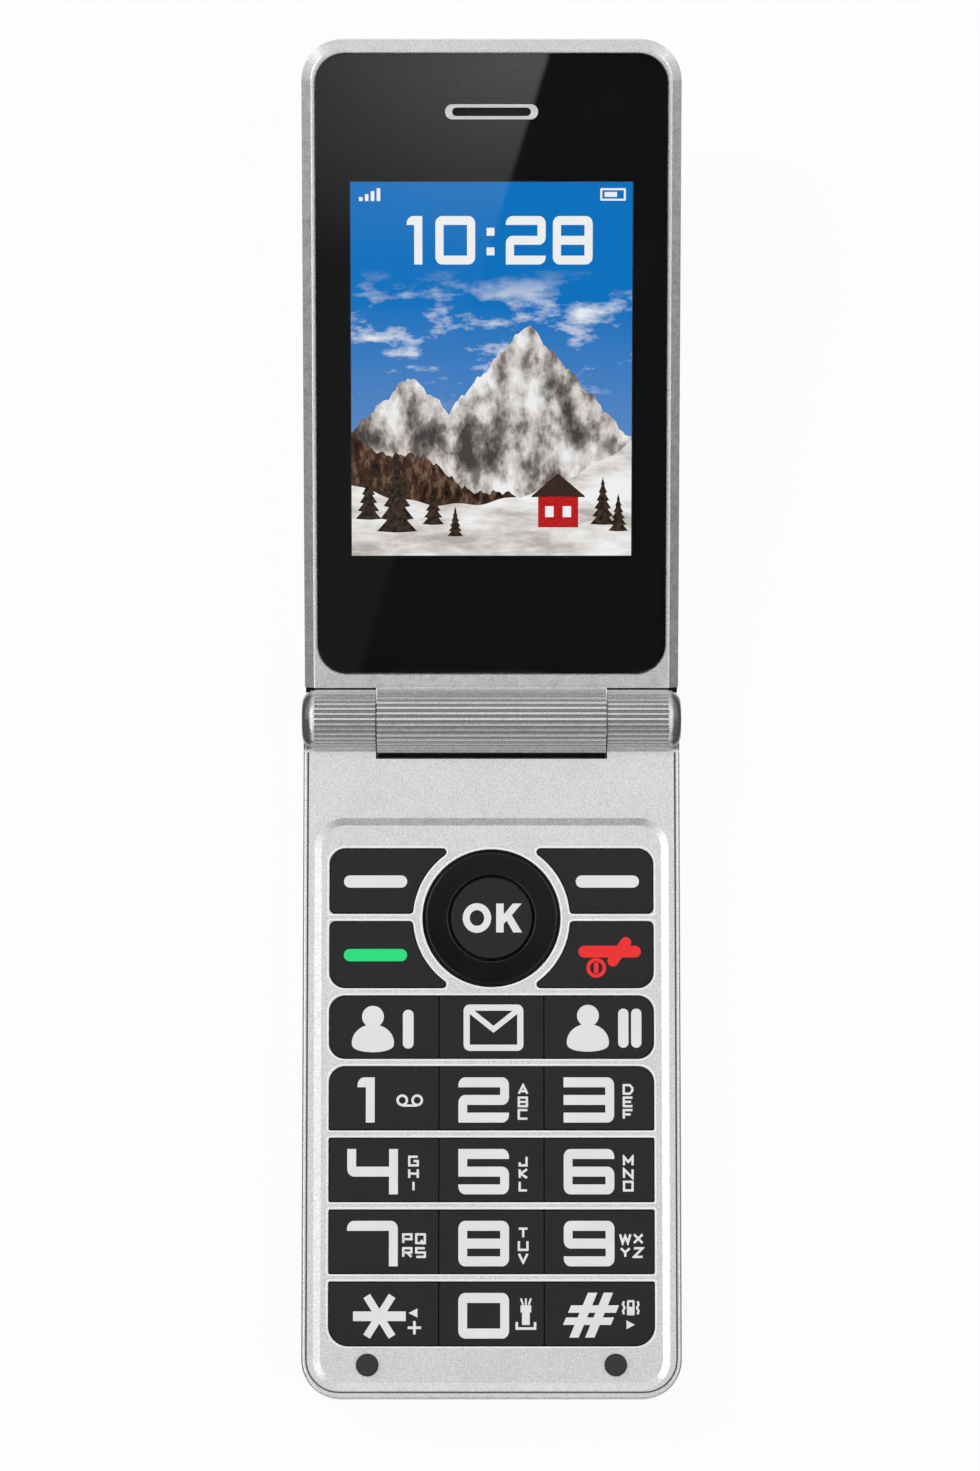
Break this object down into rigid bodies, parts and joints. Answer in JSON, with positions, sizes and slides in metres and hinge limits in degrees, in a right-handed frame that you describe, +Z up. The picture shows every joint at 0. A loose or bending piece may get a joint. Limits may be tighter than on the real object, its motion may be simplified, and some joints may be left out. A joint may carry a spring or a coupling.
{
  "type": "flip phone",
  "caption": "Flip phone with a large-key keypad base, a display lid on a ribbed barrel hinge and a sliding battery cover.",
  "frame": {"origin": "middle of the base's flat back, halfway between the bottom end and the hinge axis", "axes": "+Z up out of the keys, +Y from the keypad towards the lid, +X to the right of the keypad"},
  "size_m": [0.0588, 0.2072, 0.0391],
  "materials": {
    "silver_paint": "silver paint with fine metal flakes over moulded plastic, satin",
    "key_black": "black moulded key caps, fine satin texture",
    "ring_gloss": "gloss black",
    "clear_window": "clear hard-coated acrylic, polished",
    "black_print": "black screen print behind the window",
    "display_cell": "lit colour display behind glass",
    "steel": "plain pressed or turned steel",
    "chrome_trim": "bright plated trim",
    "mesh_steel": "black coated woven mesh",
    "lens_glass": "coated lens glass",
    "flash_diffuser": "frosted clear plastic",
    "module_black": "black moulded module housing",
    "circuit_board": "green solder mask on glass epoxy",
    "dome_film": "clear film over steel domes",
    "mat_rubber": "silicone rubber",
    "bumper_rubber": "soft black rubber, matt",
    "battery_can": "grey film over an aluminium can",
    "gold_contact": "gold-plated spring contacts",
    "flex_film": "amber polyimide film",
    "magnet_plate": "nickel-plated magnet",
    "legend_white": "white legends moulded through the key caps",
    "legend_green": "green legend moulded through the call key",
    "legend_red": "red legend moulded through the end key",
    "lit_picture": "lit picture of the display",
    "trim_line": "thin bright edge of the lid's rim"
  },
  "bodies": {
    "base": {"base_front_housing": "silver_paint", "base_back_housing": "silver_paint", "battery": "battery_can", "battery_contacts": "gold_contact", "main_board": "circuit_board", "dome_sheet": "dome_film", "keypad_mat": "mat_rubber", "loudspeaker": "module_black", "vibration_motor": "steel", "usb_socket": "steel", "sim_socket": "steel", "microphone": "steel", "base_screws": "steel", "bumper_pads": "bumper_rubber", "hinge_shaft": "steel", "hinge_bush": "steel"},
    "lid": {"lid_front_housing": "silver_paint", "lid_back_cover": "silver_paint", "display_window": "clear_window", "window_mask": "black_print", "lcd_panel": "display_cell", "lcd_tray": "steel", "lid_board": "circuit_board", "earpiece_bezel": "chrome_trim", "earpiece_mesh": "mesh_steel", "earpiece_receiver": "module_black", "camera_module": "module_black", "camera_bezel": "chrome_trim", "camera_lens": "lens_glass", "flash_lens": "flash_diffuser", "lid_magnet": "magnet_plate", "lid_screws": "steel", "hinge_can": "steel", "hinge_spring": "steel", "hinge_cam": "module_black", "lid_flex": "flex_film"},
    "nav_carrier": {"nav_carrier": "module_black"},
    "nav_ring": {"nav_ring": "ring_gloss"},
    "battery_cover": {"battery_cover": "silver_paint"},
    "vibration_weight": {"vibration_weight": "steel"},
    "key_soft_left": {"key_soft_left": "key_black"},
    "key_soft_right": {"key_soft_right": "key_black"},
    "key_call": {"key_call": "key_black"},
    "key_end": {"key_end": "key_black"},
    "key_contact_1": {"key_contact_1": "key_black"},
    "key_message": {"key_message": "key_black"},
    "key_contact_2": {"key_contact_2": "key_black"},
    "key_1": {"key_1": "key_black"},
    "key_2": {"key_2": "key_black"},
    "key_3": {"key_3": "key_black"},
    "key_4": {"key_4": "key_black"},
    "key_5": {"key_5": "key_black"},
    "key_6": {"key_6": "key_black"},
    "key_7": {"key_7": "key_black"},
    "key_8": {"key_8": "key_black"},
    "key_9": {"key_9": "key_black"},
    "key_star": {"key_star": "key_black"},
    "key_0": {"key_0": "key_black"},
    "key_hash": {"key_hash": "key_black"},
    "key_ok": {"key_ok": "key_black"}
  },
  "joints": [
    {"name": "lid_hinge", "type": "hinge", "parent": "base", "child": "lid", "pos_m": [0, 0.0524, 0.01085], "axis": [1, 0, 0], "range_deg": [0, 164]},
    {"name": "battery_cover_slide", "type": "slide", "parent": "base", "child": "battery_cover", "axis": [0, -1, 0], "range_m": [0, 0.074]},
    {"name": "vibration_spin", "type": "hinge", "parent": "base", "child": "vibration_weight", "pos_m": [0.0159, 0.0309, 0.0034], "axis": [1, 0, 0], "continuous": true},
    {"name": "nav_tilt_updown", "type": "hinge", "parent": "base", "child": "nav_carrier", "pos_m": [0, 0.02159, 0.00832], "axis": [1, 0, 0], "range_deg": [-1.2, 1.2], "stiffness_Nm_per_rad": 0.6},
    {"name": "nav_tilt_leftright", "type": "hinge", "parent": "nav_carrier", "child": "nav_ring", "pos_m": [0, 0.02159, 0.00832], "axis": [0, 1, 0], "range_deg": [-1.2, 1.2], "stiffness_Nm_per_rad": 0.6},
    {"name": "key_soft_left_press", "type": "slide", "parent": "base", "child": "key_soft_left", "axis": [0, 0, -1], "range_m": [0, 0.00035], "stiffness_N_per_m": 2000},
    {"name": "key_soft_right_press", "type": "slide", "parent": "base", "child": "key_soft_right", "axis": [0, 0, -1], "range_m": [0, 0.00035], "stiffness_N_per_m": 2000},
    {"name": "key_call_press", "type": "slide", "parent": "base", "child": "key_call", "axis": [0, 0, -1], "range_m": [0, 0.00035], "stiffness_N_per_m": 2000},
    {"name": "key_end_press", "type": "slide", "parent": "base", "child": "key_end", "axis": [0, 0, -1], "range_m": [0, 0.00035], "stiffness_N_per_m": 2000},
    {"name": "key_contact_1_press", "type": "slide", "parent": "base", "child": "key_contact_1", "axis": [0, 0, -1], "range_m": [0, 0.00035], "stiffness_N_per_m": 2000},
    {"name": "key_message_press", "type": "slide", "parent": "base", "child": "key_message", "axis": [0, 0, -1], "range_m": [0, 0.00035], "stiffness_N_per_m": 2000},
    {"name": "key_contact_2_press", "type": "slide", "parent": "base", "child": "key_contact_2", "axis": [0, 0, -1], "range_m": [0, 0.00035], "stiffness_N_per_m": 2000},
    {"name": "key_1_press", "type": "slide", "parent": "base", "child": "key_1", "axis": [0, 0, -1], "range_m": [0, 0.00035], "stiffness_N_per_m": 2000},
    {"name": "key_2_press", "type": "slide", "parent": "base", "child": "key_2", "axis": [0, 0, -1], "range_m": [0, 0.00035], "stiffness_N_per_m": 2000},
    {"name": "key_3_press", "type": "slide", "parent": "base", "child": "key_3", "axis": [0, 0, -1], "range_m": [0, 0.00035], "stiffness_N_per_m": 2000},
    {"name": "key_4_press", "type": "slide", "parent": "base", "child": "key_4", "axis": [0, 0, -1], "range_m": [0, 0.00035], "stiffness_N_per_m": 2000},
    {"name": "key_5_press", "type": "slide", "parent": "base", "child": "key_5", "axis": [0, 0, -1], "range_m": [0, 0.00035], "stiffness_N_per_m": 2000},
    {"name": "key_6_press", "type": "slide", "parent": "base", "child": "key_6", "axis": [0, 0, -1], "range_m": [0, 0.00035], "stiffness_N_per_m": 2000},
    {"name": "key_7_press", "type": "slide", "parent": "base", "child": "key_7", "axis": [0, 0, -1], "range_m": [0, 0.00035], "stiffness_N_per_m": 2000},
    {"name": "key_8_press", "type": "slide", "parent": "base", "child": "key_8", "axis": [0, 0, -1], "range_m": [0, 0.00035], "stiffness_N_per_m": 2000},
    {"name": "key_9_press", "type": "slide", "parent": "base", "child": "key_9", "axis": [0, 0, -1], "range_m": [0, 0.00035], "stiffness_N_per_m": 2000},
    {"name": "key_star_press", "type": "slide", "parent": "base", "child": "key_star", "axis": [0, 0, -1], "range_m": [0, 0.00035], "stiffness_N_per_m": 2000},
    {"name": "key_0_press", "type": "slide", "parent": "base", "child": "key_0", "axis": [0, 0, -1], "range_m": [0, 0.00035], "stiffness_N_per_m": 2000},
    {"name": "key_hash_press", "type": "slide", "parent": "base", "child": "key_hash", "axis": [0, 0, -1], "range_m": [0, 0.00035], "stiffness_N_per_m": 2000},
    {"name": "key_ok_press", "type": "slide", "parent": "base", "child": "key_ok", "axis": [0, 0, -1], "range_m": [0, 0.00035], "stiffness_N_per_m": 2000}
  ]
}
